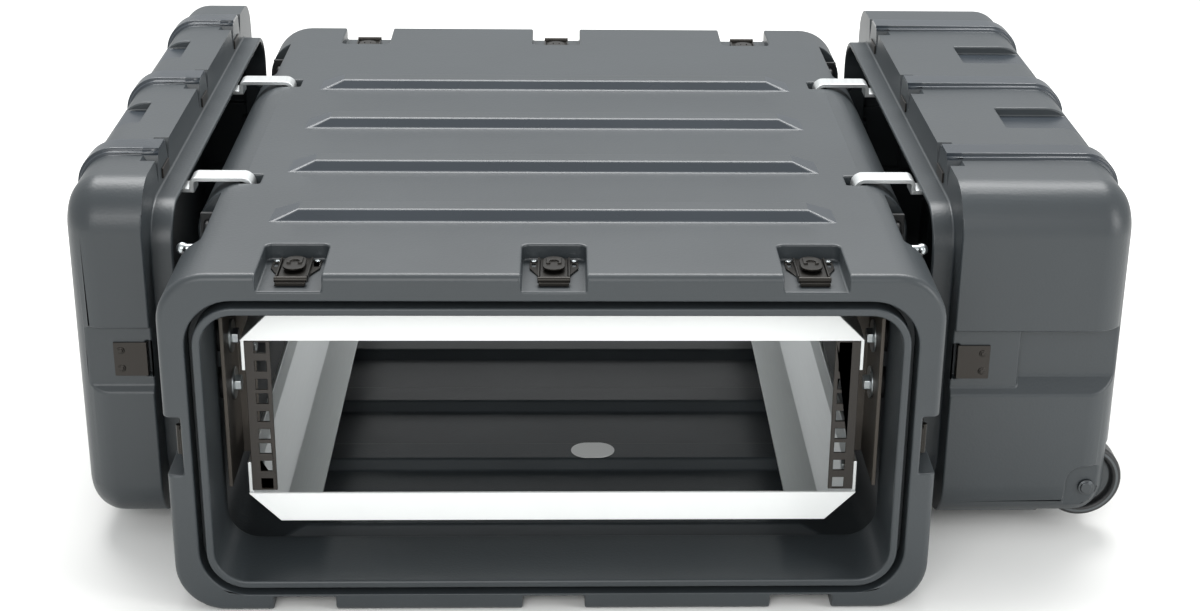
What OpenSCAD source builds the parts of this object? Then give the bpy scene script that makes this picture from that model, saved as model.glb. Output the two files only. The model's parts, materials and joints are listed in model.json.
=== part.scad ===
// Shock-mounted rack case: a moulded body open at both ends, a sprung
// aluminium rack frame inside it, and two lids hung on the body's sides.
// The origin is at the centre of the body's underside. +Y runs from the
// front opening to the rear one, +X to the right, +Z up.

/* [Case body] */
// Width of the body across the rack opening
body_w = 604; // [590:1:760]
// Height of the body
body_h = 292; // [284:1:380]
// Depth from the front opening to the rear one
body_d = 712; // [700:1:900]
// Radius of the four long outer edges
body_r = 40; // [20:1:44]
// Rounding of the edges round both openings
end_r = 6; // [2:0.5:8]
// Thickness of the moulded walls
wall = 6; // [4:0.5:8]
// Depth of the thick collar at each opening
neck_d = 74; // [74:1:90]

/* [Opening and seal] */
// Body side to the outer edge of the seal groove, at the sides
mouth_inset_x = 20.5; // [19:0.5:24]
// Body face to the outer edge of the seal groove, above and below
mouth_inset_z = 18.5; // [17:0.5:20]
// How far the opening's centre lies below the body's centre
mouth_drop = 3; // [0:0.5:3]
// Width of the seal groove
groove_w = 5.7; // [5:0.1:7]
// Depth of the seal groove
groove_d = 21.5; // [20:0.5:26]
// Corner radius of the seal groove
groove_r = 38; // [30:1:42]
// Width of the lip between the groove and the opening
lip_w = 6.3; // [5:0.1:8]
// Thickness of the rubber seal
gasket_t = 3; // [2:0.5:4]

/* [Stacking ribs] */
// Number of ribs across the top
rib_n = 4; // [2:1:4]
// Place of the first rib's front edge
rib_first_y = -241; // [-250:0.5:-200]
// Distance from rib to rib
rib_pitch = 121.6; // [90:0.1:125]
// Height of a rib
rib_h = 8; // [4:0.5:10]
// Width of a rib's flat top
rib_top = 19; // [12:1:30]
// Length of a rib at its base
rib_len = 451; // [300:1:460]
// Run of the slope at each end of a rib
rib_end_run = 19; // [8:1:30]
// Clearance of the matching grooves underneath
rib_clear = 0.5; // [0.4:0.1:2]

/* [Latches] */
// Distance between the latches along the top and bottom
latch_pitch = 200; // [120:1:210]
// Width of a latch pocket
pocket_w = 50; // [46:1:60]
// Length of a latch pocket
pocket_l = 66; // [64:1:68]
// Depth of a latch pocket
pocket_d = 13.5; // [12:0.5:14]
// Height of the side latches above the body's middle
side_latch_rise = 2; // [0:0.5:6]
// Width of the latch plate across its wings
plate_w = 38; // [34:1:42]
// Width of the latch channel between its side walls
channel_w = 22; // [18:1:24]
// Thickness of the latch sheet metal
latch_t = 1.5; // [1:0.1:2]
// Width of the turn key
key_w = 17; // [14:0.5:18]
// Length of the turn key
key_l = 28; // [22:1:30]
// Distance from the opening's face to the key's pivot
key_y = 43; // [40:0.5:46]
// Radius of the key's stem
stem_r = 3; // [2:0.5:4]
// Width of the hook's rolled front edge
barrel_w = 25; // [20:1:28]
// Radius of the hook's rolled front edge
barrel_r = 2.4; // [2:0.1:3]
// Travel of the hook
hook_travel = 12; // [8:1:14]

/* [Rack frame] */
// Height of the rack bay in rack units
rack_units = 3; // [2:1:3]
// Height of the bay's middle above the body's middle
bay_rise = 3; // [0:0.5:4]
// Side of a square rack hole
rack_hole = 9.5; // [9:0.1:10]
// Distance from the front rails to the rear rails
rail_depth = 609.6; // [500:0.1:640]
// Width of a rail's front flange
rail_w = 20; // [18:0.5:22]
// Depth of a rail's side flange
rail_side = 30; // [20:1:40]
// Thickness of the rails and cross bars
rail_t = 2.5; // [2:0.1:3]
// Free height over the equipment in the bay
bay_clear = 2.2; // [1:0.1:6]
// Thickness of the aluminium runners
runner_t = 3; // [2:0.5:4]
// Height and run of the runners' sloping corner
runner_slope = 25; // [18:1:27]
// Width of the runners' upright leg
runner_leg = 27; // [20:1:34]
// Width of the runners' flat leg
runner_flat = 29; // [20:1:40]
// Depth of the flange behind each cross bar
bar_flange = 24; // [15:1:40]
// Distance from the rail holes' centre line to the frame's outer face
frame_side = 15; // [14.5:0.5:16]

/* [Suspension] */
// Distance from the frame's side to the wall bracket
bracket_gap = 14.5; // [12:0.5:16]
// Thickness of the wall brackets
bracket_t = 3; // [2:0.5:4]
// Length of a wall bracket from front to back
bracket_l = 66; // [60:1:90]
// Distance from the rail face to the bracket's front edge
bracket_set = 9; // [4:1:14]
// Height of a wall bracket
bracket_h = 150; // [120:1:154]
// Diameter of the rubber mounts
mount_d = 26; // [20:1:28]
// Distance between the two mounts of a bracket
mount_pitch = 42; // [34:1:50]
// Diameter of the wide washers
washer_d = 27; // [20:0.5:30]

/* [Lids] */
// How far a lid stands out past the body all round
lid_margin = 6; // [2:0.5:10]
// Depth of the front lid
front_lid_d = 65; // [60:1:120]
// Depth of the rear lid
rear_lid_d = 145; // [145:1:200]
// Radius of a lid's outer edges
lid_edge_r = 28; // [16:1:36]
// Length of the lid's tongue
tongue_l = 18; // [12:0.5:18]
// Clearance of the tongue in the seal groove
tongue_gap = 0.6; // [0.3:0.1:1]
// Width of the ridges over a lid
ridge_w = 33; // [24:1:44]
// Height of the ridges over a lid
ridge_h = 5; // [3:0.5:7]
// Distance between the ridges
ridge_pitch = 206; // [160:1:215]
// Depth of the V-shaped notches beside the ridges, at the rim
notch_d = 22; // [8:1:24]
// Width of those notches
notch_w = 15; // [8:1:18]
// Width of the stacking dents in a lid
dent_w = 58; // [40:1:70]
// Depth of the stacking dents
dent_d = 8; // [4:0.5:10]
// Length of the front lid's dents
front_dent_l = 31; // [30:1:50]
// Length of the rear lid's dents
rear_dent_l = 75; // [60:1:100]
// Depth of the band that holds the end keepers
band_d = 5.5; // [3:0.5:7]
// Height of that band
band_h = 58; // [50:1:70]
// Depth of the rear lid's hand hold
hold_d = 13; // [9:0.5:14]
// Length of the pad beside the hand hold
pad_l = 57; // [50:1:70]
// Height of the raised panel on a lid's face
panel_h = 164; // [120:1:180]
// Width of the raised panel
panel_w = 520; // [300:1:540]
// How far that panel stands out
panel_t = 5; // [2:0.5:6]

/* [Hung lids] */
// Distance from the body's side to a hung lid's rim
hang_gap = 29; // [28:0.5:36]
// Height of a hung lid above the floor
hang_z = 15.5; // [14:0.5:17]
// Distance of the hung front lid behind the body's middle
front_lid_y = 65; // [50:1:70]
// Distance of the hung rear lid behind the body's middle
rear_lid_y = 59; // [50:1:70]
// Width of a hanger
hanger_w = 20; // [14:0.5:22]
// Thickness of a hanger
hanger_t = 4; // [3:0.5:5]
// Distance between the two hangers of a side
hanger_pitch = 283; // [200:1:286]
// How far the hangers' middle lies behind the body's middle
hanger_mid_y = 4; // [0:0.5:6]
// Outer radius of a hanger's bends
hanger_r = 10; // [7:0.5:12]
// Body side to the centre of a hanger slot
slot_in = 44.5; // [42:0.5:50]
// Width of a hanger slot
slot_w = 16; // [14:0.5:20]
// Depth of a hanger slot
slot_d = 30; // [24:1:34]

/* [Side handles] */
// Place of the front handles' centre
front_handle_y = -215; // [-220:1:-200]
// Place of the rear handles' centre
rear_handle_y = 248; // [235:1:255]
// Length of a handle well
well_l = 110; // [100:1:114]
// Depth of a handle well
well_d = 22; // [20:0.5:24]
// Height of a handle well's floor below the body's top
well_h = 70; // [66:1:72]
// Distance between the arms of a handle
bail_w = 88; // [70:1:92]
// Length of a handle's arms
bail_l = 30; // [24:1:32]
// Radius of a handle's rod
rod_r = 3; // [2.5:0.5:4]
// Radius of a handle's grip
grip_r = 7; // [5:0.5:8]
// Radius of the dome-ended pegs
peg_r = 5; // [3:0.5:6]
// How far a peg stands out of the body's side
peg_out = 6; // [3:0.5:8]

/* [Wheels] */
// Radius of the wheels
wheel_r = 34; // [26:1:36]
// Width of the wheels
wheel_w = 24; // [18:1:28]
// Height of the axle above the lid's underside
axle_z = 36; // [34:1:44]
// Depth of the axle behind the lid's rim
axle_in = 125; // [122:1:128]
// Radius of the axle
axle_r = 4; // [3:0.5:5]
// Thickness of the lid's wall outside a wheel
cheek = 14; // [12:0.5:18]
// Running gap round a wheel
wheel_gap = 3; // [2:0.5:4]

/* [Hidden] */
$fn = 64;
EPS = 0.01;
SEAT = 0.3;         // gap between a piece and its seat on another body
RUN = 0.05;         // radial running clearance of a pin in its hole
latch_n = 16;
latch_names_key = [for (i = [1 : latch_n]) str("latch_key_", i)];
latch_names_hook = [for (i = [1 : latch_n]) str("latch_hook_", i)];

// Body
front_y = -body_d / 2;
rear_y = body_d / 2;
mid_z = body_h / 2;
mouth_z = mid_z - mouth_drop;
mouth_hw = body_w / 2 - mouth_inset_x;
mouth_hh = mid_z - mouth_inset_z;
cavity_y = rear_y - neck_d;
lip_in = groove_w + lip_w;
rib_front_slope = 1;       // run of a rib's front slope for each mm of rise
rib_back_slope = 3 / 8;
rib_end_slope = rib_end_run / rib_h;
floor_band_z = rib_clear + rib_h + wall;

// Latches
stem_bore_r = stem_r + RUN;
key_t = 1.6;
key_z = 5.4;
rib_wall_h = 5;
plate_y0 = 21;
plate_y1 = 62;
barrel_y = 15;
hook_z = latch_t + SEAT;
rivet_r = 2.4;

// Rack frame. The unit's height and the hole spacings are the 19-inch standard's
rack_unit_h = 44.45;
rack_hole_cc = 465.1;
rail_y = rail_depth / 2;
bay_h = rack_units * rack_unit_h + bay_clear;
bay_z0 = mid_z - bay_h / 2 + bay_rise;
bay_z1 = bay_z0 + bay_h;
frame_hw = rack_hole_cc / 2 + frame_side;
rail_hw = frame_hw - runner_t;
rail_set = runner_t * tan(22.5) + SEAT;  // clear of the runner's inside corner
hole_end = 6.35;    // from a panel space's edge to its end hole
hole_step = 15.875; // from hole to hole inside one rack unit

// Suspension
bracket_x = frame_hw + bracket_gap;
mount_len = body_w / 2 - wall - bracket_x - bracket_t;
bracket_z0 = bay_z0;
mount_mid_z = bay_z1 - 37;

// The label on the floor, on the second rib's band
label_x = 35;
label_t = 0.6;
label_w = 40;
label_l = 30;
label_y = rib_first_y + rib_pitch + rib_h + rib_top / 2;

// Lids
lid_w = body_w + 2 * lid_margin;
lid_h = body_h + 2 * lid_margin;
lid_mouth_z = mouth_z + lid_margin;
band_z = mid_z + side_latch_rise + lid_margin;
rim_x = body_w / 2 + hang_gap;
tongue_in = groove_w - tongue_gap;
tongue_under = hang_z + lid_mouth_z + mouth_hh - tongue_in;
lid_shell_wall = wall;

keeper_slot_in = 9; // depth of the slot behind an end keeper's edge
keeper_h = 30;
keeper_t = 1.5;
keeper_y0 = -32;
keeper_y1 = -5;
rim_keeper = [28, 1.5, 9];
notch_run = 2 * lid_shell_wall + 1;
recess_y = 106;     // from the rim to the recess round a wheel's axle
recess_z = 57;
recess_r = 14;
recess_d = 6;

// Hangers
slot_x = body_w / 2 - slot_in;
leg_x = slot_x + slot_w / 2 - SEAT - hanger_r + hanger_t;
hanger_z = body_h + SEAT;
foot_z = tongue_under - SEAT - hanger_t;
drop_x = rim_x - tongue_l - 4;

// Handles
well_x = body_w / 2 - well_d;
well_z = body_h - well_h;
bail_x = well_x + 11;
bail_z = body_h - 28;
ear_t = 4;
ear_len = 14;
ear_h = 18;
bracket_plate_t = 2.5;
rod_bend_r = 6;
grip_l = bail_w - 4 * rod_r - 2 * rod_bend_r - 8;
peg_z = bail_z - 1;
hanger_play = 1.5;  // room beside a hanger in its slot
hanger_toe_r = 6;
peg_back = 11;      // a peg's distance in front of its handle's middle

// Middle of the rubber mounts along the case, and of a wheel across its lid
function mount_y() = bracket_set - rail_y + bracket_l / 2 + 2;
function wheel_mid_x() = lid_w / 2 - cheek - wheel_gap - wheel_w / 2;

// Latch places: [end, side, offset]. The sides are top, bottom, left, right.
function latch_spot(i) =
    let (e = i < latch_n / 2 ? -1 : 1, k = i % (latch_n / 2))
    k < 3 ? [e, 0, (k - 1) * latch_pitch]
    : k < 6 ? [e, 1, (k - 4) * latch_pitch]
    : [e, k - 4, 0];

// A rectangle with round corners, centred
module round_rect(w, h, r) {
    square([w - 2 * r, h], center = true);
    square([w, h - 2 * r], center = true);
    for (x = [-1, 1], y = [-1, 1])
        translate([x * (w / 2 - r), y * (h / 2 - r)]) circle(r);
}

// Its child, drawn in X and Z, drawn out along Y from y0 to y1
module along_y(y0, y1) {
    translate([0, y1, 0]) rotate([90, 0, 0])
        linear_extrude(y1 - y0) children();
}

// Its child, drawn in Y and Z, drawn out along X from x0 to x1
module along_x(x0, x1) {
    translate([x0, 0, 0]) rotate([90, 0, 90])
        linear_extrude(x1 - x0) children();
}

// A box given by its two opposite corners
module span(a, b) {
    translate(a) cube([b.x - a.x, b.y - a.y, b.z - a.z]);
}

// The opening's outline, larger than the groove's outer edge by grow
module mouth_outline(grow) {
    round_rect(2 * (mouth_hw + grow), 2 * (mouth_hh + grow), groove_r + grow);
}

// Puts its children in the frame of latch i: x across, y into the body
// from the opening's face, z out of the pocket's floor
module at_latch(i) {
    s = latch_spot(i);
    out_x = body_w / 2 - pocket_d;
    rotate([0, 0, s[0] < 0 ? 0 : 180])
        translate([
            s[1] == 2 ? -out_x : s[1] == 3 ? out_x : s[2], front_y,
            s[1] == 0 ? body_h - pocket_d : s[1] == 1 ? pocket_d
                : mid_z + side_latch_rise])
        rotate([0, s[1] == 0 ? 0 : s[1] == 1 ? 180 : s[1] == 2 ? -90 : 90, 0])
        children();
}

// One stacking rib, standing on z = 0; its top runs back from y = rib_h
module rib(grow) {
    h = rib_h + grow;
    y0 = rib_h - grow;
    y1 = rib_h + rib_top + grow;
    half = rib_len / 2 - rib_end_run + grow;
    intersection() {
        along_x(-body_w / 2, body_w / 2)
            polygon([[y0 - h * rib_front_slope, 0], [y1 + h * rib_back_slope, 0],
                     [y1, h], [y0, h]]);
        along_y(-body_d / 2, body_d / 2)
            polygon([[-half - h * rib_end_slope, 0],
                     [half + h * rib_end_slope, 0], [half, h], [-half, h]]);
    }
}

// Puts its children at each rib's place, at height z
module at_ribs(z) {
    for (i = [0 : rib_n - 1])
        translate([0, rib_first_y + i * rib_pitch, z]) children();
}

module latch_pocket() {
    r = 6;
    linear_extrude(pocket_d + body_r) {
        translate([-pocket_w / 2, -1]) square([pocket_w, pocket_l - r + 1]);
        translate([r - pocket_w / 2, -1])
            square([pocket_w - 2 * r, pocket_l + 1]);
        for (x = [-1, 1])
            translate([x * (pocket_w / 2 - r), pocket_l - r]) circle(r);
    }
}

// Puts its children at each handle well: x out of the body, y along it
module at_handles() {
    for (side = [-1, 1], y = [front_handle_y, rear_handle_y])
        at_handle(side, y) children();
}

module at_handle(side, y) {
    translate([0, y, 0]) mirror([side < 0 ? 1 : 0, 0, 0]) children();
}

module at_hangers() {
    for (side = [0, 1], end = [-1, 1])
        translate([0, hanger_mid_y + end * hanger_pitch / 2, 0])
            mirror([side, 0, 0]) children();
}

module cavity() {
    difference() {
        along_y(-cavity_y, cavity_y) translate([0, mid_z])
            round_rect(body_w - 2 * wall, body_h - 2 * wall, body_r - wall);
        // the floor rises over the stacking grooves
        at_ribs(rib_clear) rib(wall);
        // the walls stand in round the handle wells and the hanger slots
        at_handles() span([well_x - wall, -well_l / 2 - wall, well_z - wall],
                          [body_w, well_l / 2 + wall, body_h]);
        at_hangers() span(
            [slot_x - slot_w / 2 - wall, -hanger_w / 2 - hanger_play - wall,
             body_h - slot_d - wall],
            [slot_x + slot_w / 2 + wall, hanger_w / 2 + hanger_play + wall, body_h]);
    }
}

module body_shell() {
    color("#4b4f50") difference() {
        union() {
            for (s = [0, 180]) rotate([0, 0, s])
                rolled_block(body_w, body_h, body_d / 2, body_r, end_r);
            at_ribs(body_h) rib(0);
        }
        cavity();
        along_y(front_y - 1, rear_y + 1) translate([0, mouth_z])
            mouth_outline(-lip_in);
        for (s = [0, 180]) rotate([0, 0, s])
            along_y(front_y - 1, front_y + groove_d)
                translate([0, mouth_z]) difference() {
                    mouth_outline(0);
                    mouth_outline(-groove_w);
                }
        at_ribs(-EPS) rib(rib_clear);
        for (i = [0 : latch_n - 1]) at_latch(i) latch_pocket();
        at_handles() span([well_x, -well_l / 2, well_z],
                          [body_w, well_l / 2, body_h + 1]);
        at_hangers() span(
            [slot_x - slot_w / 2, -hanger_w / 2 - hanger_play, body_h - slot_d],
            [slot_x + slot_w / 2, hanger_w / 2 + hanger_play, body_h + 1]);
    }
}

module mouth_gaskets() {
    color("#1b1b1b") for (s = [0, 180]) rotate([0, 0, s])
        along_y(front_y + groove_d - gasket_t, front_y + groove_d)
            translate([0, mouth_z]) difference() {
                mouth_outline(-SEAT);
                mouth_outline(SEAT - groove_w);
            }
}

// Fixed plate of a latch: two slotted wings and a channel for the hook
module latch_plate() {
    wing = plate_w / 2;
    mid = channel_w / 2 + latch_t;
    difference() {
        union() {
            linear_extrude(latch_t)
                polygon([[-mid, plate_y0], [mid, plate_y0],
                         [mid, plate_y0 + 10], [wing, plate_y0 + 24],
                         [wing, plate_y1], [-wing, plate_y1],
                         [-wing, plate_y0 + 24], [-mid, plate_y0 + 10]]);
            for (x = [-1, 1]) translate([x * (mid - latch_t / 2), 0, 0])
                span([-latch_t / 2, plate_y0, 0],
                     [latch_t / 2, plate_y1 - 2, rib_wall_h]);
        }
        translate([0, key_y, -1]) cylinder(h = latch_t + 2, r = stem_bore_r);
        for (x = [-1, 1]) translate([x * (wing + mid) / 2, 0, -1])
            span([-1.6, plate_y1 - 14, 0], [1.6, plate_y1 - 6, 9]);
    }
}

module latch_plates() {
    color("#202022") for (i = [0 : latch_n - 1]) at_latch(i) latch_plate();
}

module latch_rivets() {
    color("#8d9092") for (i = [0 : latch_n - 1]) at_latch(i)
        for (x = [-1, 1])
            translate([x * (plate_w / 4 + channel_w / 4 + latch_t / 2),
                       plate_y1 - 3, latch_t]) {
                cylinder(h = 1, r = rivet_r);
                translate([0, 0, 1 - EPS]) cylinder(h = 0.5, r = rivet_r * 0.6);
            }
}

// Turn key of latch i: a round-ended plate on a stem
module latch_key(i) {
    straight = key_l - key_w;
    color("#26282a") at_latch(i) translate([0, key_y, 0]) {
        translate([0, 0, SEAT])
            cylinder(h = key_z - SEAT + EPS, r = stem_r);
        translate([0, 0, hook_z + latch_t + SEAT])
            cylinder(h = key_z - hook_z - latch_t - SEAT + EPS,
                     r = channel_w / 2 - 3.5);
        translate([0, 0, key_z]) linear_extrude(key_t) {
            square([key_w, straight], center = true);
            for (y = [-1, 1]) translate([0, y * straight / 2])
                circle(key_w / 2);
        }
        translate([0, 0, key_z + key_t - EPS]) linear_extrude(1.2)
            difference() {
                translate([0, straight / 4])
                    square([key_w * 0.7, straight], center = true);
                circle(key_w * 0.22);
            }
    }
}

// Draw hook of latch i: a slotted strap with a rolled edge and a hook lip
module latch_hook(i) {
    half = channel_w / 2 - SEAT;
    slot_r = stem_r + 0.5;
    color("#2b2d30") at_latch(i) {
        difference() {
            span([-half, barrel_y, hook_z],
                 [half, key_y + hook_travel + slot_r + 3, hook_z + latch_t]);
            translate([0, 0, hook_z - 1]) linear_extrude(latch_t + 2) {
                translate([-slot_r, key_y]) square([2 * slot_r, hook_travel]);
                for (y = [0, hook_travel]) translate([0, key_y + y]) circle(slot_r);
            }
        }
        translate([-barrel_w / 2, barrel_y, hook_z + barrel_r])
            rotate([0, 90, 0]) cylinder(h = barrel_w, r = barrel_r);
        span([-barrel_w / 2 + 1, barrel_y - 5, hook_z],
             [barrel_w / 2 - 1, barrel_y, hook_z + latch_t]);
        span([-barrel_w / 2 + 1, barrel_y - 5, hook_z - 1.2],
             [barrel_w / 2 - 1, barrel_y - 3.6, hook_z + latch_t]);
    }
}

// Cross bar of the frame: a face with its outer corners cut off, and a flange
module cross_bar() {
    outer = frame_hw;
    inner = frame_hw - runner_slope;
    translate([0, -rail_y - runner_t, 0]) {
        along_y(0, runner_t)
            polygon([[-outer, 0], [outer, 0], [inner, -runner_slope],
                     [-inner, -runner_slope]]);
        span([runner_t - inner, runner_t - EPS, runner_t - runner_slope],
             [inner - runner_t, bar_flange, 2 * runner_t - runner_slope]);
    }
}

module rack_bars(z, up) {
    color("#dfe1e1") for (s = [0, 180]) rotate([0, 0, s])
        translate([0, 0, z]) mirror([0, 0, up]) cross_bar();
}

module rack_bottom_bars() { rack_bars(bay_z0, 0); }
module rack_top_bars() { rack_bars(bay_z1, 1); }

// Corner runner: an upright leg, a sloping face and a flat leg
module runner_section() {
    t = runner_t;
    k = t * tan(22.5);
    in = frame_hw - runner_slope;
    polygon([
        [frame_hw, runner_leg], [frame_hw, 0], [in, -runner_slope],
        [in - runner_flat, -runner_slope],
        [in - runner_flat, t - runner_slope],
        [in - k, t - runner_slope], [frame_hw - t, k],
        [frame_hw - t, runner_leg]]);
}

module runners(z, up) {
    color("#c9cccd") for (side = [0, 1])
        translate([0, 0, z]) mirror([0, 0, up]) mirror([side, 0, 0])
            along_y(-rail_y, rail_y) runner_section();
}

module lower_runners() { runners(bay_z0, 0); }
module upper_runners() { runners(bay_z1, 1); }

// One rack rail at the front right, with a square hole for each rack screw
module rack_rail() {
    top = bay_z1 - bay_clear / 2;
    difference() {
        union() {
            span([rail_hw - rail_w, -rail_y, bay_z0 + rail_set],
                 [rail_hw, rail_t - rail_y, bay_z1 - rail_set]);
            span([rail_hw - rail_t, -rail_y, bay_z0 + rail_set],
                 [rail_hw, rail_side - rail_y, bay_z1 - rail_set]);
        }
        for (u = [0 : rack_units - 1], k = [0 : 2])
            translate([rack_hole_cc / 2, -rail_y,
                       top - hole_end - u * rack_unit_h - k * hole_step])
                cube([rack_hole, 4 * rail_t, rack_hole], center = true);
        for (z = [bay_z0 + runner_leg / 2, bay_z1 - runner_leg / 2])
            translate([rail_hw - rail_t - 1, rail_side / 2 - rail_y + 4, z])
                rotate([0, 90, 0]) cylinder(h = rail_t + 2, r = 3.2);
    }
}

module at_corners() {
    for (side = [0, 1], end = [0, 1])
        mirror([side, 0, 0]) mirror([0, end, 0]) children();
}

module rack_rails() { color("#2c2926") at_corners() rack_rail(); }

module frame_bolts() {
    color("#b9bfc2") at_corners()
        for (z = [bay_z0 + runner_leg / 2, bay_z1 - runner_leg / 2])
            translate([rail_hw - rail_t, rail_side / 2 - rail_y + 4, z])
                rotate([0, -90, 0]) {
                    cylinder(h = 1.2, r = 6.5);
                    translate([0, 0, 1.2 - EPS]) cylinder(h = 3.6, r = 5, $fn = 6);
                    translate([0, 0, -rail_t]) cylinder(h = rail_t + 1, r = 3);
                }
}

// Bracket between the frame's side and the rubber mounts
module wall_bracket() {
    y0 = bracket_set - rail_y;
    y1 = y0 + bracket_l;
    difference() {
        union() {
            span([bracket_x, y0, bracket_z0],
                 [bracket_x + bracket_t, y1, bracket_z0 + bracket_h]);
            span([frame_hw, y1 - bracket_t, bracket_z0],
                 [bracket_x + EPS, y1, bay_z1]);
        }
        for (k = [-1, 1])
            translate([bracket_x - 1, mount_y(), mount_mid_z + k * mount_pitch / 2])
                rotate([0, 90, 0]) cylinder(h = bracket_t + 2, r = 4.2);
    }
}

module wall_brackets() { color("#6a635c") at_corners() wall_bracket(); }

module rubber_mounts() {
    color("#161616") at_corners() for (k = [-1, 1])
        translate([bracket_x + bracket_t, mount_y(),
                   mount_mid_z + k * mount_pitch / 2])
            rotate([0, 90, 0]) difference() {
                cylinder(h = mount_len, r = mount_d / 2);
                translate([0, 0, -1]) cylinder(h = 13, r = 4.2);
            }
}

module mount_bolts() {
    color("#b4bcc0") at_corners() for (k = [-1, 1])
        translate([bracket_x, mount_y(), mount_mid_z + k * mount_pitch / 2])
            rotate([0, -90, 0]) {
                cylinder(h = 1.8, r = washer_d / 2);
                translate([0, 0, 1.8 - EPS])
                    cylinder(h = 5, r = 7, $fn = 6);
                translate([0, 0, -bracket_t - 11])
                    cylinder(h = bracket_t + 11 + EPS, r = 4);
            }
}

// Side view of a hanger: over the body's edge, down behind the lid's
// tongue and out beneath it
module hanger_section() {
    t = hanger_t;
    top = hanger_z + t;
    r = hanger_r;
    toe = hanger_toe_r;
    translate([leg_x - t, body_h - slot_d + 6])
        square([t, top - r - body_h + slot_d - 6]);
    translate([leg_x - t + r, top - t]) square([drop_x - leg_x - r + t - toe, t]);
    intersection() {
        translate([leg_x - t + r, top - r]) difference() {
            circle(r);
            circle(r - t);
        }
        translate([leg_x - t, top - r]) square(r);
    }
    intersection() {
        translate([drop_x - toe, top - toe]) difference() {
            circle(toe);
            circle(toe - t);
        }
        translate([drop_x - toe, top - toe]) square(toe);
    }
    translate([drop_x - t, foot_z]) square([t, top - toe - foot_z]);
    translate([drop_x - t, foot_z]) square([rim_x - drop_x + t - 2, t]);
}

module lid_hangers() {
    color("#d3d5d5") at_hangers()
        along_y(-hanger_w / 2, hanger_w / 2) hanger_section();
}

module handle_brackets() {
    color("#1d1d1f") at_handles() {
        for (s = [-1, 1]) difference() {
            span([well_x, s > 0 ? bail_w / 2 : -bail_w / 2 - ear_t,
                  bail_z - ear_h / 2],
                 [well_x + ear_len + 3, s > 0 ? bail_w / 2 + ear_t : -bail_w / 2,
                  bail_z + ear_h / 2]);
            translate([bail_x, s * (bail_w / 2 + ear_t) + 1, bail_z])
                rotate([90, 0, 0])
                    cylinder(h = 3 * ear_t, r = rod_r + RUN, center = true);
        }
        span([well_x, -bail_w / 2 - EPS, bail_z - ear_h / 2],
             [well_x + bracket_plate_t, bail_w / 2 + EPS, bail_z + ear_h / 2]);
    }
}

// A quarter bend of the handle's rod, from above its centre to beside it
module rod_bend() {
    rotate([0, -90, 0])
        rotate_extrude(angle = 90) translate([rod_bend_r, 0]) circle(rod_r);
}

// Folding carry handle: a rod bent four times and a rubber grip
module side_handle(side, y) {
    arm = bail_w / 2 - 2 * rod_r - 0.6;
    flat = arm - rod_bend_r;
    color("#191919") at_handle(side, y) translate([bail_x, 0, bail_z]) {
        for (s = [0, 1]) mirror([0, s, 0]) {
            translate([0, arm + rod_bend_r, 0]) rotate([-90, 0, 0])
                cylinder(h = bail_w / 2 + ear_t - arm - rod_bend_r, r = rod_r);
            translate([0, arm + rod_bend_r, -rod_bend_r])
                mirror([0, 1, 0]) rod_bend();
            translate([0, arm, rod_bend_r - bail_l])
                cylinder(h = bail_l - 2 * rod_bend_r, r = rod_r);
            translate([0, flat, rod_bend_r - bail_l])
                mirror([0, 0, 1]) rod_bend();
        }
        translate([0, -flat, -bail_l]) rotate([-90, 0, 0])
            cylinder(h = 2 * flat, r = rod_r);
        translate([0, -grip_l / 2, -bail_l]) rotate([-90, 0, 0])
            cylinder(h = grip_l, r = grip_r);
    }
}

module dome_pegs() {
    x0 = well_x + bracket_plate_t;
    x1 = body_w / 2 + peg_out - peg_r;
    color("#c3c6c8") at_handles() translate([0, -peg_back, peg_z]) {
        translate([x0, 0, 0]) rotate([0, 90, 0])
            cylinder(h = x1 - x0, r = peg_r * 0.72);
        translate([x1, 0, 0]) sphere(peg_r);
    }
}

// The floor's label: a blank oval
module floor_label() {
    color("#e9ebeb") translate([label_x, label_y, floor_band_z])
        linear_extrude(label_t) {
            square([label_w - label_l, label_l], center = true);
            for (s = [-1, 1]) translate([s * (label_w - label_l) / 2, 0])
                circle(label_l / 2);
        }
}

// Side view of a block's edge: w across, d deep, its far corners rounded by er
module rolled_profile(w, d, er) {
    square([w, d - er]);
    translate([er, 0]) square([w - 2 * er, d]);
    for (x = [er, w - er]) translate([x, d - er]) circle(er);
}

// A block from y = -d to y = 0, standing on z = 0: corners of radius r and
// its outer face's edges rounded by er
module rolled_block(w, h, d, r, er) {
    rotate([90, 0, 0]) {
        for (x = [r - w / 2, w / 2 - r], z = [r, h - r]) translate([x, z, 0])
            rotate_extrude() {
                square([r, d - er]);
                square([r - er, d]);
                translate([r - er, d - er]) intersection() {
                    circle(er);
                    square(er);
                }
            }
        translate([r - w / 2, 0, 0]) rotate([90, 0, 90])
            linear_extrude(w - 2 * r) rolled_profile(h, d, er);
        translate([-w / 2, h - r, 0]) rotate([90, 0, 0])
            linear_extrude(h - 2 * r) rolled_profile(w, d, er);
    }
}

// The same block grown all round, but not at its rim
module lid_block_grown(d, g) {
    translate([0, 0, -g])
        rolled_block(lid_w + 2 * g, lid_h + 2 * g, d + g, body_r + g,
                     lid_edge_r + g);
}

module lid_ridges(d) {
    for (k = [-1, 0, 1]) {
        for (step = [[ridge_w, ridge_h / 2], [ridge_w - 8, ridge_h]])
            intersection() {
                lid_block_grown(d, step[1]);
                span([k * ridge_pitch - step[0] / 2, -d - ridge_h, lid_h / 2 + 60],
                     [k * ridge_pitch + step[0] / 2, 0, lid_h + ridge_h]);
            }
    }
}

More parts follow.
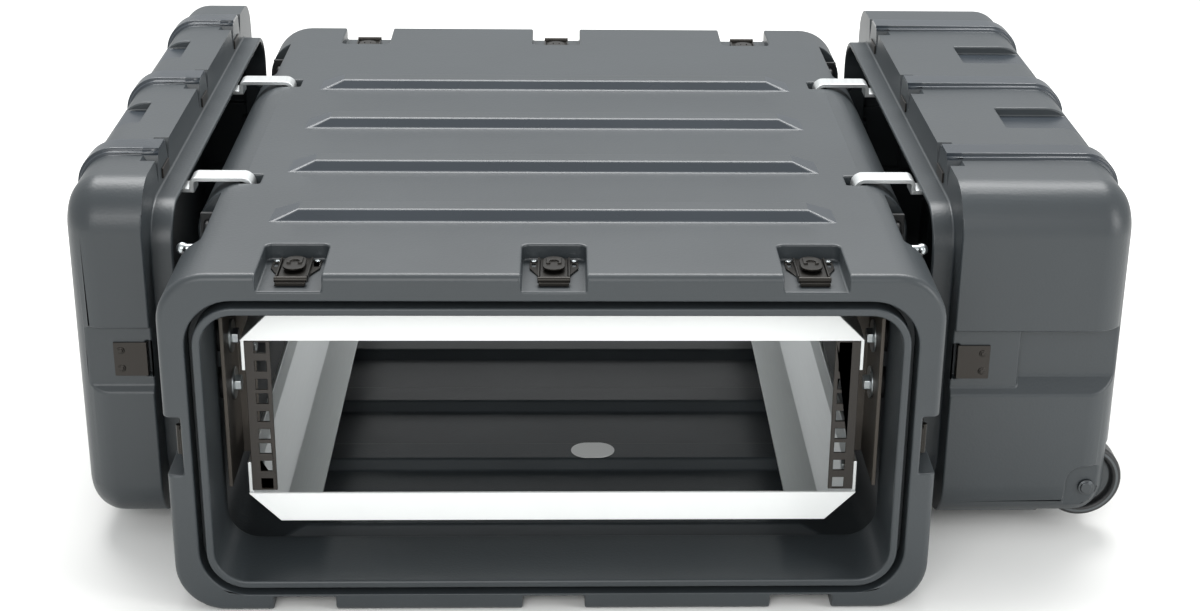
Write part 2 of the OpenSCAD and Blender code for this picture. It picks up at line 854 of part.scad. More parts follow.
// V-shaped notches in the rim, one on each side of each ridge
module lid_notches() {
    for (k = [-1, 0, 1], s = [-1, 1])
        translate([k * ridge_pitch + s * (ridge_w + notch_w) / 2, 0, lid_h])
            intersection() {
                along_y(-notch_run, 1) polygon([[-notch_w / 2, 1], [0, -notch_d],
                                          [notch_w / 2, 1]]);
                along_x(-notch_w, notch_w)
                    polygon([[1, 2], [1, -notch_d - 1], [-notch_run, 1]]);
            }
}

// Cut for one end band: level floor, sloping ledge below
module band_cut(y0, y1, depth) {
    hw = lid_w / 2;
    low = band_z - band_h / 2;
    high = band_z + band_h / 2;
    along_y(y0, y1)
        polygon([[hw + 1, low - 1], [hw + 1, high], [hw - depth, high],
                 [hw - depth, low + depth]]);
}

module lid_cuts(d, dent_l, hold) {
    lid_notches();
    for (side = [0, 1]) mirror([side, 0, 0]) {
        band_cut(-d - 1, 1, band_d);
        if (hold > 0) band_cut(-d - 10, -pad_l, hold);
        // slot behind the end keeper's edge
        span([lid_w / 2 - band_d - keeper_slot_in, -6, band_z - keeper_h / 2 - 1],
             [lid_w / 2 + 1, -1.5, band_z + keeper_h / 2 + 1]);
        translate([ridge_pitch / 2, 0, 0])
            span([-dent_w / 2, -d - 10, lid_h - dent_d],
                 [dent_w / 2, dent_l - d, lid_h + 10]);
    }
}

module lid_cavity(d, dent_l, hold) {
    w = lid_shell_wall;
    difference() {
        translate([0, -w, w])
            rolled_block(lid_w - 2 * w, lid_h - 2 * w, d - 2 * w, body_r - w,
                         lid_edge_r - w);
        for (side = [0, 1]) mirror([side, 0, 0]) {
            span([lid_w / 2 - band_d - w, -d, band_z - band_h / 2 - w],
                 [lid_w, 0, band_z + band_h / 2 + w]);
            span([lid_w / 2 - band_d - keeper_slot_in - w, -6 - w,
                  band_z - keeper_h / 2 - 1 - w],
                 [lid_w, 0, band_z + keeper_h / 2 + 1 + w]);
            if (hold > 0)
                span([lid_w / 2 - hold - w, -d, band_z - band_h / 2 - w],
                     [lid_w, w - pad_l, band_z + band_h / 2 + w]);
            translate([ridge_pitch / 2, 0, 0])
                span([-dent_w / 2 - w, -d, lid_h - dent_d - w],
                     [dent_w / 2 + w, dent_l - d + w, lid_h]);
            if (hold > 0) wheel_housing_block(d);
        }
    }
}

// A lid in its own frame: rim on y = 0, outer face at y = -d, tongue at +y
module lid_shell(d, dent_l, hold) {
    difference() {
        union() {
            rolled_block(lid_w, lid_h, d, body_r, lid_edge_r);
            lid_ridges(d);
            along_y(-EPS, tongue_l) translate([0, lid_mouth_z])
                mouth_outline(-tongue_gap);
            translate([0, -d + lid_edge_r, lid_h / 2]) rotate([90, 0, 0])
                linear_extrude(lid_edge_r + panel_t)
                    round_rect(panel_w, panel_h, 12);
        }
        lid_cavity(d, dent_l, hold);
        along_y(-2 * lid_shell_wall, tongue_l + 1) translate([0, lid_mouth_z])
            mouth_outline(-tongue_in);
        lid_cuts(d, dent_l, hold);
        if (hold > 0) for (side = [0, 1]) mirror([side, 0, 0])
            wheel_housing_cut(d);
    }
}

module wheel_housing_block(d) {
    span([wheel_mid_x() - wheel_w / 2 - wheel_gap - 8, -d,
          0], [lid_w, wheel_r + wheel_gap + 6 - axle_in,
          axle_z + wheel_r + wheel_gap + 6]);
}

module wheel_housing_cut(d) {
    r = wheel_r + wheel_gap;
    x0 = wheel_mid_x() - wheel_w / 2 - wheel_gap;
    along_x(x0, x0 + wheel_w + 2 * wheel_gap) {
        translate([-axle_in, axle_z]) circle(r);
        translate([-d - 10, -10]) square([d + 10 - axle_in + r, axle_z + 10]);
        translate([-d - 10, -10]) square([d + 10 - axle_in, axle_z + 10 + r]);
    }
    // axle hole and the recess round its head
    along_x(x0 - 9, lid_w / 2 + 1) translate([-axle_in, axle_z])
        circle(axle_r + RUN);
    along_x(lid_w / 2 - recess_d, lid_w / 2 + 1) {
        translate([-d - 10, -10])
            square([d + 10 - recess_y, recess_z + 10 - recess_r]);
        translate([-d - 10, -10])
            square([d + 10 - recess_y - recess_r, recess_z + 10]);
        translate([-recess_y - recess_r, recess_z - recess_r])
            circle(recess_r);
    }
}

module hung_front() {
    translate([-rim_x, front_lid_y, hang_z]) rotate([0, 0, -90]) children();
}

module hung_rear() {
    translate([rim_x, rear_lid_y, hang_z]) rotate([0, 0, 90]) children();
}

// Keepers: two plates on the end bands and six on the rim above and below
module lid_keepers() {
    color("#3b3836") {
        for (side = [0, 1]) mirror([side, 0, 0]) {
            x = lid_w / 2 - band_d;
            span([x, keeper_y0, band_z - keeper_h / 2],
                 [x + keeper_t, keeper_y1, band_z + keeper_h / 2]);
            span([x - keeper_slot_in + 2, keeper_y1 - 1, band_z - keeper_h / 2],
                 [x + keeper_t, keeper_y1 + 0.4, band_z + keeper_h / 2]);
            for (z = [-8, 8]) translate([x + keeper_t, keeper_y0 + 6, band_z + z])
                rotate([0, 90, 0]) {
                    cylinder(h = 0.8, r = 3);
                    translate([0, 0, 0.8 - EPS]) cylinder(h = 0.6, r = 1.8);
                }
        }
        for (k = [-1, 0, 1], up = [0, 1])
            translate([k * latch_pitch, 0, up > 0
                       ? lid_mouth_z + mouth_hh + 4
                       : lid_mouth_z - mouth_hh - 4 - rim_keeper.z])
                span([-rim_keeper.x / 2, 0, 0],
                     [rim_keeper.x / 2, rim_keeper.y, rim_keeper.z]);
    }
}

module front_lid_shell() {
    color("#45494a") hung_front() lid_shell(front_lid_d, front_dent_l, 0);
}

module rear_lid_shell() {
    color("#45494a") hung_rear() lid_shell(rear_lid_d, rear_dent_l, hold_d);
}

module front_lid_keepers() { hung_front() lid_keepers(); }
module rear_lid_keepers() { hung_rear() lid_keepers(); }

// A wheel with a rubber tread, a web and a hub; s is its end of the lid
module wheel(s) {
    color("#2a2c2d") hung_rear()
        translate([s * wheel_mid_x(), -axle_in, axle_z]) rotate([0, 90, 0])
            difference() {
                union() {
                    cylinder(h = wheel_w, r = wheel_r, center = true);
                }
                translate([0, 0, -wheel_w])
                    cylinder(h = 2 * wheel_w, r = axle_r + RUN);
                for (z = [-1, 1]) translate([0, 0, z * wheel_w / 2])
                    difference() {
                        cylinder(h = 14, r = wheel_r - 8, center = true);
                        cylinder(h = 16, r = 9, center = true);
                    }
            }
}

module wheel_near() { wheel(-1); }
module wheel_far() { wheel(1); }

module wheel_axles() {
    x0 = wheel_mid_x() - wheel_w / 2 - wheel_gap - 8;
    color("#8f9496") hung_rear() for (side = [0, 1]) mirror([side, 0, 0])
        translate([0, -axle_in, axle_z]) rotate([0, 90, 0]) {
            translate([0, 0, x0]) cylinder(h = lid_w / 2 - 6 - x0, r = axle_r);
            translate([0, 0, lid_w / 2 - 6]) cylinder(h = 2.5, r = 7);
            translate([0, 0, lid_w / 2 - 3.5 - EPS]) cylinder(h = 1.2, r = 5);
        }
}

body_shell();
mouth_gaskets();
latch_plates();
latch_rivets();
rack_top_bars();
rack_bottom_bars();
upper_runners();
lower_runners();
rack_rails();
frame_bolts();
wall_brackets();
rubber_mounts();
mount_bolts();
lid_hangers();
handle_brackets();
side_handle(-1, front_handle_y);  // handle_front_left
side_handle(1, front_handle_y);  // handle_front_right
side_handle(-1, rear_handle_y);  // handle_rear_left
side_handle(1, rear_handle_y);  // handle_rear_right
dome_pegs();
floor_label();
front_lid_shell();
front_lid_keepers();
rear_lid_shell();
rear_lid_keepers();
wheel_near();
wheel_far();
wheel_axles();
for (i = [0 : latch_n - 1]) {
    latch_key(i);
    latch_hook(i);
}
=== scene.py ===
# %% [markdown]
# A rack case for the road. The body is a moulded plastic shell, open at both
# ends. A light metal frame stands in it on rubber mounts, and the two lids
# hang on the body's sides while the equipment is in use. This notebook dresses
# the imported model, piece by piece: what each piece is on the real case, how it
# could be made in Blender, and why it is made the way it is here.

# %% Load the frame
import json
import math
import bmesh
import bpy
from mathutils import Matrix, Vector

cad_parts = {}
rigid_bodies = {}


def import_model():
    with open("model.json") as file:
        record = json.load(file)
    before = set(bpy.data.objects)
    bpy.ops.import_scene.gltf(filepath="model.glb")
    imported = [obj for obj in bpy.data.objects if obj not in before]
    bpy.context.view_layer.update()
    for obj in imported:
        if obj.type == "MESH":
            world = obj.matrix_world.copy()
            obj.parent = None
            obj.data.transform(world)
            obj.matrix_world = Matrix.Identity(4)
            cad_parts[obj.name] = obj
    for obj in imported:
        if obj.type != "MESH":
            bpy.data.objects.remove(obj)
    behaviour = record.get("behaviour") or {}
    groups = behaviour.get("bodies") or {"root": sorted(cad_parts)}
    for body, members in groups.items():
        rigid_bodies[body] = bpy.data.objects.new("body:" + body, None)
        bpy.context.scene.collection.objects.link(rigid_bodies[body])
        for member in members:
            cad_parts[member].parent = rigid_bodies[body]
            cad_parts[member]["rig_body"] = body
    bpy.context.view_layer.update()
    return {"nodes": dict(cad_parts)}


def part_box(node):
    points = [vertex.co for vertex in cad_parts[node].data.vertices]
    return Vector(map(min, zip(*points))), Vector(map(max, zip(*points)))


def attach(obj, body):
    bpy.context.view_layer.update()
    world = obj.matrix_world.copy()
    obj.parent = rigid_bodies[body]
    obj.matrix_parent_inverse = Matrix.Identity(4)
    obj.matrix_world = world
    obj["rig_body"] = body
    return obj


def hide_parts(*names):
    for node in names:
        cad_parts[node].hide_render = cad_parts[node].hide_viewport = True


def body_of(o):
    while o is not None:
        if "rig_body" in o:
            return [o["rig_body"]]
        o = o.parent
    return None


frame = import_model()
MM = 0.001


# %% [markdown]
# So each step starts by deselecting everything and making one piece active.
# These few helpers do that, and finish a piece: it gets its material, and it rides on the body
# that carries it.

# %% Helpers for selecting and finishing
def deselect():
    if bpy.context.mode != "OBJECT":
        bpy.ops.object.mode_set(mode="OBJECT")
    bpy.ops.object.select_all(action="DESELECT")


def activate(piece):
    deselect()
    piece.select_set(True)
    bpy.context.view_layer.objects.active = piece


def apply_all(piece):
    activate(piece)
    for modifier in list(piece.modifiers):
        bpy.ops.object.modifier_apply(modifier=modifier.name)


def smooth(piece, degrees=32):
    activate(piece)
    bpy.ops.object.shade_smooth_by_angle(angle=math.radians(degrees))


def finish_piece(piece, body, material, nodes=()):
    if material:
        piece.data.materials.clear()
        piece.data.materials.append(material)
    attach(piece, body)
    if nodes:
        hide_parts(*nodes)
    return piece


# %% [markdown]
# The camera stands a good step in front of the case and above it, and looks
# down at it with a long lens. Its place and turn are given as a photographer
# would give them: where the tripod is, and how far the head is tilted.

# %% Camera
CAMERA_PLACE = Vector((0.0054, -1.7591, 0.8631))
CAMERA_PITCH, CAMERA_YAW, CAMERA_ROLL = (math.radians(a) for a in (21.97, 2.10, 0.87))
LENS_MM = 60.2
SHIFT_X, SHIFT_Y = -0.0243, -0.0294

ahead = Vector((math.sin(CAMERA_YAW) * math.cos(CAMERA_PITCH),
                math.cos(CAMERA_YAW) * math.cos(CAMERA_PITCH),
                -math.sin(CAMERA_PITCH)))
level = Vector((math.cos(CAMERA_YAW), -math.sin(CAMERA_YAW), 0))
upward = level.cross(ahead)
right = math.cos(CAMERA_ROLL) * level + math.sin(CAMERA_ROLL) * upward
up = math.cos(CAMERA_ROLL) * upward - math.sin(CAMERA_ROLL) * level
bpy.ops.object.camera_add(location=CAMERA_PLACE)
camera = bpy.context.object
camera.matrix_world = Matrix.Translation(CAMERA_PLACE) @ Matrix(
    (right, up, -ahead)).transposed().to_4x4()
camera.data.lens = LENS_MM
camera.data.shift_x, camera.data.shift_y = SHIFT_X, SHIFT_Y
bpy.context.scene.camera = camera
print("camera stands", round(camera.location.length, 2), "m from the case")


# %% [markdown]
# A product studio has a pale sweep under and behind the object and large soft
# boxes. The one above lies over the ribs and gives every rolled edge its long
# highlight. The one in front is weaker and opens up the shadow in the bay.

# %% Colours and nodes
def srgb(code, alpha=1.0):
    """A colour written as #rrggbb, turned to the linear values Blender works in."""
    parts = [int(code[i:i + 2], 16) / 255 for i in (1, 3, 5)]
    linear = [p / 12.92 if p <= 0.04045 else ((p + 0.055) / 1.055) ** 2.4 for p in parts]
    return (*linear, alpha)


def add_node(tree, kind, links=None, inputs=None, **settings):
    """Adds one node, sets it up and links it: links and inputs go by socket name."""
    node = tree.nodes.new(kind)
    for key, value in settings.items():
        setattr(node, key, value)
    for key, value in (inputs or {}).items():
        node.inputs[key].default_value = value
    for key, socket in (links or {}).items():
        tree.links.new(socket, node.inputs[key])
    return node


def new_material(name, **shader_values):
    material = bpy.data.materials.new(name)
    material.use_nodes = True
    shader = material.node_tree.nodes["Principled BSDF"]
    for key, value in shader_values.items():
        shader.inputs[key.replace("_", " ")].default_value = value
    return material, material.node_tree, shader


# %% Studio
bpy.context.scene.view_settings.view_transform = "Standard"
bpy.ops.mesh.primitive_plane_add(size=16, location=(0, 2, 0))
floor = bpy.context.object
floor.name = "studio_floor"
floor_paint, _, _ = new_material("matt_studio_paint", Base_Color=srgb("#f1f1ef"),
                                 Roughness=0.9)
floor.data.materials.append(floor_paint)

world = bpy.data.worlds.new("studio_air")
world.use_nodes = True
world.node_tree.nodes["Background"].inputs["Color"].default_value = srgb("#f7f9fa")
world.node_tree.nodes["Background"].inputs["Strength"].default_value = 0.8
bpy.context.scene.world = world


def softbox(name, place, aim, size, power):
    bpy.ops.object.light_add(type="AREA", location=place)
    lamp = bpy.context.object
    lamp.name = name
    lamp.data.shape = "RECTANGLE"
    lamp.data.size, lamp.data.size_y = size
    lamp.data.energy = power
    lamp.rotation_euler = (Vector(aim) - Vector(place)).to_track_quat("-Z", "Y").to_euler()
    return lamp


softbox("softbox_above", (0, 0.75, 1.9), (0, 0.1, 0.2), (2.4, 0.9), 64)
softbox("softbox_front", (-0.5, -2.8, 1.5), (0, -0.3, 0.15), (1.8, 1.2), 34)
softbox("softbox_right", (2.2, -1.4, 1.0), (0.3, 0, 0.2), (0.7, 1.4), 20)


# %% [markdown]
# The shells are rotationally moulded polyethylene. The mould is sandblasted,
# so the skin is a fine dull pebble, and the thick wall cools unevenly, so the
# big faces are never quite flat and the gloss drifts. The pebble is about
# half a millimetre on the real case. Here it is drawn at about two, so that
# it shows at this distance.

# %% Moulded polyethylene
def moulded_polyethylene(name, tone, roughness, pebble=0.16):
    material, tree, shader = new_material(name, Roughness=roughness, IOR=1.51)
    place = add_node(tree, "ShaderNodeTexCoord").outputs["Object"]
    drift = add_node(tree, "ShaderNodeTexNoise", {"Vector": place},
                     {"Scale": 9.0, "Detail": 3.0, "Roughness": 0.5})
    grain = add_node(tree, "ShaderNodeTexVoronoi", {"Vector": place}, {"Scale": 480.0},
                     feature="SMOOTH_F1")
    wave = add_node(tree, "ShaderNodeTexNoise", {"Vector": place},
                    {"Scale": 16.0, "Detail": 1.0})
    shade = add_node(tree, "ShaderNodeMix", {"Factor": drift.outputs["Fac"]},
                     data_type="RGBA")
    low, high = (tuple(c * k for c in srgb(tone)[:3]) + (1,) for k in (0.86, 1.14))
    shade.inputs[6].default_value, shade.inputs[7].default_value = low, high
    tree.links.new(shade.outputs[2], shader.inputs["Base Color"])
    gloss = add_node(tree, "ShaderNodeMapRange", {"Value": drift.outputs["Fac"]},
                     {"To Min": roughness - 0.05, "To Max": roughness + 0.05})
    tree.links.new(gloss.outputs["Result"], shader.inputs["Roughness"])
    broad = add_node(tree, "ShaderNodeBump", {"Height": wave.outputs["Fac"]},
                     {"Strength": 0.25, "Distance": 0.0012})
    fine = add_node(tree, "ShaderNodeBump",
                    {"Height": grain.outputs["Distance"], "Normal": broad.outputs["Normal"]},
                    {"Strength": pebble, "Distance": 0.0005})
    tree.links.new(fine.outputs["Normal"], shader.inputs["Normal"])
    return material


shell_plastic = moulded_polyethylene("rotomoulded_polyethylene", "#32373a", 0.4)
# the second finish is darker and glossier: mould polish on the ridges and ribs, and painted
# shade on the lids' dent floors
ridge_plastic = moulded_polyethylene("polished_and_dent_shade_polyethylene", "#2d3339", 0.28, 0.06)
print("two finishes of one plastic:", shell_plastic.name, ridge_plastic.name)


# %% [markdown]
# The metals. Extruded aluminium has fine lines along its length, so its gloss
# is a noise squeezed along one axis. Zinc plate is brighter and blotchy, and
# black zinc is nearly black with a brown bloom. Metals keep the shader's own
# IOR, because their colour already says how they reflect.

# %% Metals
def metal(name, tone, roughness, squeeze=(1, 1, 1), scale=60.0, spread=0.08, dent=0.1):
    """A bare or plated metal: squeeze shortens the pattern along an axis."""
    material, tree, shader = new_material(name, Metallic=1.0)
    place = add_node(tree, "ShaderNodeTexCoord").outputs["Object"]
    turned = add_node(tree, "ShaderNodeMapping", {"Vector": place}, {"Scale": squeeze})
    lines = add_node(tree, "ShaderNodeTexNoise", {"Vector": turned.outputs["Vector"]},
                     {"Scale": scale, "Detail": 4.0, "Roughness": 0.6})
    gloss = add_node(tree, "ShaderNodeMapRange", {"Value": lines.outputs["Fac"]},
                     {"To Min": roughness - spread, "To Max": roughness + spread})
    tree.links.new(gloss.outputs["Result"], shader.inputs["Roughness"])
    blend = add_node(tree, "ShaderNodeMix", {"Factor": lines.outputs["Fac"]}, data_type="RGBA")
    blend.inputs[6].default_value = tuple(c * 0.88 for c in srgb(tone)[:3]) + (1,)
    blend.inputs[7].default_value = srgb(tone)
    tree.links.new(blend.outputs[2], shader.inputs["Base Color"])
    relief = add_node(tree, "ShaderNodeBump", {"Height": lines.outputs["Fac"]},
                      {"Strength": dent, "Distance": 0.0004})
    tree.links.new(relief.outputs["Normal"], shader.inputs["Normal"])
    return material


# %% [markdown]
# The coated and soft pieces. Powder coat has a slight orange peel, rubber is
# dull and a little dusty, and a printed label is nearly smooth. All of them
# are one shader with a drifting tone and gloss over a fine bump.

# %% Coats and rubbers
def coat(name, tone, roughness, scale=220.0, relief_strength=0.12, drift_amount=0.1,
         metallic=0.0):
    material, tree, shader = new_material(name, Metallic=metallic)
    place = add_node(tree, "ShaderNodeTexCoord").outputs["Object"]
    drift = add_node(tree, "ShaderNodeTexNoise", {"Vector": place},
                     {"Scale": 28.0, "Detail": 3.0})
    peel = add_node(tree, "ShaderNodeTexNoise", {"Vector": place}, {"Scale": scale})
    blend = add_node(tree, "ShaderNodeMix", {"Factor": drift.outputs["Fac"]}, data_type="RGBA")
    colour = srgb(tone)[:3]
    blend.inputs[6].default_value = tuple(c * (1 - drift_amount) for c in colour) + (1,)
    blend.inputs[7].default_value = tuple(c * (1 + drift_amount) for c in colour) + (1,)
    tree.links.new(blend.outputs[2], shader.inputs["Base Color"])
    gloss = add_node(tree, "ShaderNodeMapRange", {"Value": drift.outputs["Fac"]},
                     {"To Min": roughness - 0.06, "To Max": roughness + 0.06})
    tree.links.new(gloss.outputs["Result"], shader.inputs["Roughness"])
    relief = add_node(tree, "ShaderNodeBump", {"Height": peel.outputs["Fac"]},
                      {"Strength": relief_strength, "Distance": 0.0003})
    tree.links.new(relief.outputs["Normal"], shader.inputs["Normal"])
    return material


FINISHES = {
    "seal_rubber": coat("closed_cell_seal_rubber", "#2c3032", 0.6),
    "black_zinc": coat("black_zinc_plate", "#2b2926", 0.34, metallic=0.75),
    "zinc_steel": metal("bright_zinc_plate", "#c3c9cb", 0.3, dent=0.15),
    "white_aluminium": coat("white_powder_coat", "#eef0ef", 0.42, 300.0, 0.05, 0.02),
    "mill_aluminium": metal("extruded_aluminium", "#dfe2e2", 0.4, (40, 1, 40), 24.0),
    "rail_steel": coat("brown_black_powder_coat", "#2b2723", 0.4, metallic=0.2),
    "bracket_steel": coat("grey_brown_phosphate", "#5b5650", 0.5, metallic=0.5),
    "mount_rubber": coat("shock_mount_rubber", "#151515", 0.62),
    "handle_black": coat("grip_rubber", "#161718", 0.5),
    "label_white": coat("printed_vinyl", "#e8eae9", 0.4, drift_amount=0.03),
    "keeper_steel": coat("dark_zinc_keeper", "#35322f", 0.38, metallic=0.7),
    "wheel_rubber": coat("tyre_polyurethane", "#1b1c1d", 0.48),
    "axle_steel": metal("blackened_axle_steel", "#55585a", 0.32),
}
hub_nylon = coat("grey_hub_nylon", "#4b4f51", 0.42)
print(len(FINISHES), "finishes beside the shell's plastic")


# %% [markdown]
# A moulding has no sharp edges, because the powder can't fill them. The shells
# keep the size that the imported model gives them, so each is a copy of its CAD
# node, merged back into whole faces. The faces that run round the opening are
# parted first at the middle of the case, because a face can't hold a hole.
# Then every edge is rounded by one bevel modifier, in which each edge carries
# its own weight: an outer edge is rolled widely, the thin lip only a little.

# %% Helpers for rounding a copy of a CAD node
MERGE = 0.06 * MM
NEARLY_FLAT = math.radians(0.4)


def copy_of_node(node, name, part_at=(), keep_where=None):
    """A merged copy of a CAD node. part_at lists (point, normal) planes that part
    its faces, and keep_where picks the points whose faces stay as they are."""
    piece = bpy.data.objects.new(name, frame["nodes"][node].data.copy())
    bpy.context.collection.objects.link(piece)
    activate(piece)
    bpy.ops.mesh.customdata_custom_splitnormals_clear()
    mesh = bmesh.new()
    mesh.from_mesh(piece.data)
    bmesh.ops.remove_doubles(mesh, verts=mesh.verts, dist=MERGE)
    for point, normal in part_at:
        cut = bmesh.ops.bisect_plane(mesh, geom=mesh.verts[:] + mesh.edges[:] + mesh.faces[:],
                                     plane_co=point, plane_no=normal)
        for part in cut["geom_cut"]:
            if isinstance(part, bmesh.types.BMEdge):
                part.seam = True
    kept = {v for v in mesh.verts if keep_where and keep_where(v.co)}
    bmesh.ops.dissolve_limit(mesh, angle_limit=NEARLY_FLAT, delimit={"SEAM"},
                             verts=[v for v in mesh.verts if v not in kept],
                             edges=[e for e in mesh.edges if not set(e.verts) <= kept])
    mesh.to_mesh(piece.data)
    mesh.free()
    return piece


def round_edges(piece, width_at, widest, segments=3, sharp=26):
    """Bevels every edge sharper than sharp degrees by width_at(middle) metres."""
    mesh = bmesh.new()
    mesh.from_mesh(piece.data)
    weights = mesh.edges.layers.float.new("bevel_weight_edge")
    count = 0
    for edge in mesh.edges:
        if len(edge.link_faces) == 2 and edge.calc_face_angle() > math.radians(sharp):
            middle = (edge.verts[0].co + edge.verts[1].co) / 2
            edge[weights] = width_at(middle) / widest
            count += 1
    mesh.to_mesh(piece.data)
    mesh.free()
    bevel = piece.modifiers.new("rounding", "BEVEL")
    bevel.limit_method = "WEIGHT"
    bevel.width = widest
    bevel.segments = segments
    bevel.use_clamp_overlap = False
    bevel.miter_outer = "MITER_ARC"
    normals = piece.modifiers.new("even_shading", "WEIGHTED_NORMAL")
    normals.keep_sharp = True
    normals.weight = 100
    smooth(piece, 40)
    apply_all(piece)
    return count


# %% The body's shell
BODY_ROLL, STRIP_ROLL = 1.6 * MM, 0.6 * MM
STRIP_FOOT, STRIP_TOP, STRIP_DEPTH = 12 * MM, 17 * MM, 2 * MM
RIB_H, RIB_MARGIN = 8 * MM, 0.3 * MM
body_low, body_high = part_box("body_shell")
body_middle = (body_low + body_high) / 2

body = copy_of_node("body_shell", "moulded_body",
                    [(body_middle, (1, 0, 0)), (body_middle, (0, 0, 1))])


def body_width(place):
    """The strip between a latch pocket and the seal groove underneath is 2 mm wide."""
    at_end = abs(place.y) > body_high.y - STRIP_DEPTH
    return STRIP_ROLL if at_end and STRIP_FOOT < place.z < STRIP_TOP else BODY_ROLL


count = round_edges(body, body_width, BODY_ROLL)
finish_piece(body, "case", shell_plastic, ["body_shell"])
body.data.materials.append(ridge_plastic)
rib_foot, rib_top = body_high.z - RIB_H + RIB_MARGIN, body_high.z - RIB_MARGIN
for face in body.data.polygons:
    # the stacking ribs come out of polished bars in the mould
    if rib_foot < face.center.z < rib_top and face.normal.z > 0.3:
        face.material_index = 1
print("the body:", count, "edges rounded,", len(body.data.polygons), "faces")


# %% [markdown]
# Each lid is the same kind of moulding. Its ridges come out of polished places in the mould,
# so they are darker and glossier than the pebbled faces round them. Its stacking dents get the
# same darker, glossier plastic: the gloss is the mould's, and the darker tone is painted shade
# for the hollow. Their faces are found by where they lie: out past the lid's rolled face for a
# ridge, inside it for a dent.

# %% The lids' shells
RIDGE_PITCH, RIDGE_HALF, DENT_HALF = 206 * MM, 17.5 * MM, 29 * MM
LID_ROLL, RIDGE_PROUD = 28 * MM, 5 * MM
RIM_X, NOTCH_RUN, NOTCH_D = 331 * MM, 13 * MM, 22 * MM
LID_BEVEL, PARTING, SLACK = 1.5 * MM, 1 * MM, 0.1 * MM
RIDGE_FOOT, RIDGE_START = 0.3 * MM, 50 * MM
DENT_DEEP, DENT_SHALLOW, DENT_INNER, DENT_OUTER = 9.5 * MM, 0.5 * MM, 80 * MM, 2 * MM
LIDS = {"front": (65 * MM, -1), "rear": (59 * MM, 1)}


def dress_lid(end):
    lid_middle_y, side = LIDS[end]
    low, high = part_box(end + "_lid_shell")
    outer_x = low.x if side < 0 else high.x
    outer_x -= side * RIDGE_PROUD
    top_z = high.z - RIDGE_PROUD
    middle = Vector(((low.x + high.x) / 2, lid_middle_y, (low.z + high.z) / 2))
    notch_end = Vector((side * (RIM_X + NOTCH_RUN + PARTING), 0, 0))
    notch_foot = Vector((0, 0, top_z - NOTCH_D - PARTING))

    def by_rim(place):
        """The notches leave steps thinner than the bevel, so it stops short of them."""
        return (RIM_X - PARTING < abs(place.x) < RIM_X + NOTCH_RUN + PARTING + SLACK
                and place.z > notch_foot.z - SLACK)

    lid = copy_of_node(end + "_lid_shell", end + "_lid_moulding",
                       [(middle, (0, 1, 0)), (middle, (0, 0, 1)),
                        (notch_end, (1, 0, 0)), (notch_foot, (0, 0, 1))], by_rim)
    count = round_edges(lid, lambda place: 0 if by_rim(place) else LID_BEVEL, LID_BEVEL)
    finish_piece(lid, end + "_lid", shell_plastic, [end + "_lid_shell"])
    lid.data.materials.append(ridge_plastic)
    polished = 0
    for face in lid.data.polygons:
        along = abs(face.center.y - lid_middle_y)
        out = side * (face.center.x - outer_x)
        up = face.center.z - top_z
        corner = math.hypot(max(out + LID_ROLL, 0), max(up + LID_ROLL, 0)) - LID_ROLL
        proud = corner if out > -LID_ROLL and up > -LID_ROLL else max(out, up)
        on_ridge = min(abs(along - k * RIDGE_PITCH) for k in (0, 1)) < RIDGE_HALF
        in_dent = abs(along - RIDGE_PITCH / 2) < DENT_HALF
        ridge = (on_ridge and proud > RIDGE_FOOT
                 and face.center.z > middle.z + RIDGE_START)
        # a dent floor gets the darker tone as painted shade in its hollow, and the mould's
        # gloss
        dent = (in_dent and -DENT_DEEP < up < -DENT_SHALLOW
                and -DENT_INNER < out < -DENT_OUTER and face.normal.z > 0.9)
        if ridge or dent:
            face.material_index = 1
            polished += 1
    print(end, "lid:", count, "edges rounded,", polished, "polished faces")


for end in LIDS:
    dress_lid(end)


# %% [markdown]
# Everything else is metal, rubber or a label. Each piece is a copy of its CAD
# node with its edges broken by the amount that its making leaves: a sheet's
# edge is about a third of its thickness, an extrusion's a little more, and a
# casting's more again. Small parts get two segments, large ones three.

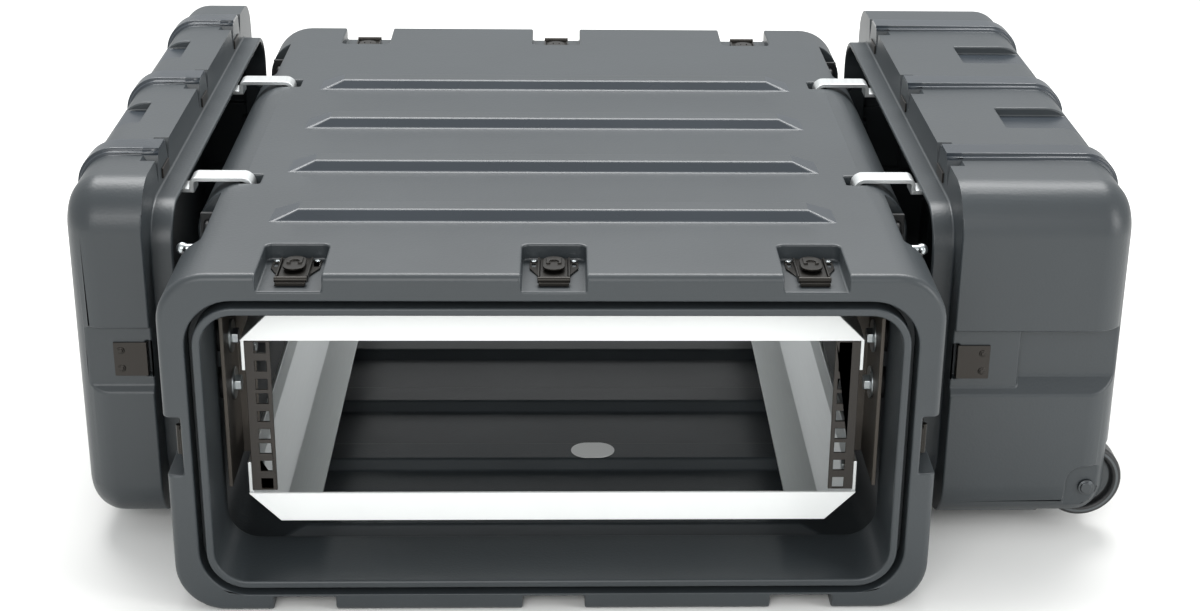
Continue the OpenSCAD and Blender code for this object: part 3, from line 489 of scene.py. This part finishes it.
# %% Small pieces, each with its edge radius in millimetres
EDGES = {
    "mouth_gaskets": ("seal_rubber", 0.5), "latch_plates": ("black_zinc", 0.35),
    "latch_rivets": ("zinc_steel", 0.25), "rack_top_bars": ("white_aluminium", 0.5),
    "rack_bottom_bars": ("white_aluminium", 0.5), "upper_runners": ("mill_aluminium", 0.5),
    "lower_runners": ("mill_aluminium", 0.5), "rack_rails": ("rail_steel", 0.4),
    "frame_bolts": ("zinc_steel", 0.4), "wall_brackets": ("bracket_steel", 0.5),
    "rubber_mounts": ("mount_rubber", 1.2), "mount_bolts": ("zinc_steel", 0.4),
    "lid_hangers": ("mill_aluminium", 0.6), "handle_brackets": ("handle_black", 0.5),
    "dome_pegs": ("zinc_steel", 0.3), "floor_label": ("label_white", 0.15),
    "front_lid_keepers": ("keeper_steel", 0.35), "rear_lid_keepers": ("keeper_steel", 0.35),
    "wheel_near": ("wheel_rubber", 3.0), "wheel_far": ("wheel_rubber", 3.0),
    "wheel_axles": ("axle_steel", 0.6),
    **{"handle_%s_%s" % (end, side): ("handle_black", 1.6)
       for end in ("front", "rear") for side in ("left", "right")},
    **{"latch_%s_%d" % (part, n): ("black_zinc", 0.3)
       for part in ("key", "hook") for n in range(1, 17)},
}


def dress_small(node, finish, radius):
    piece = copy_of_node(node, node.replace("_", "-") + "_dressed")
    round_edges(piece, lambda middle: radius * MM, radius * MM,
                segments=2 if radius < 1 else 3, sharp=34)
    finish_piece(piece, body_of(frame["nodes"][node])[0], FINISHES[finish], [node])
    return piece


dressed = {node: dress_small(node, *edge) for node, edge in EDGES.items()}

# a wheel is one turned piece: its tyre is dark and the hub inside it is grey
TYRE_INNER = 25 * MM
for name in ("wheel_near", "wheel_far"):
    wheel = dressed[name]
    low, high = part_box(name)
    hub = (low + high) / 2
    wheel.data.materials.append(hub_nylon)
    for face in wheel.data.polygons:
        if math.hypot(face.center.x - hub.x, face.center.z - hub.z) < TYRE_INNER:
            face.material_index = 1
print(len(dressed), "pieces dressed,", sum(len(p.data.polygons) for p in dressed.values()),
      "faces in all")
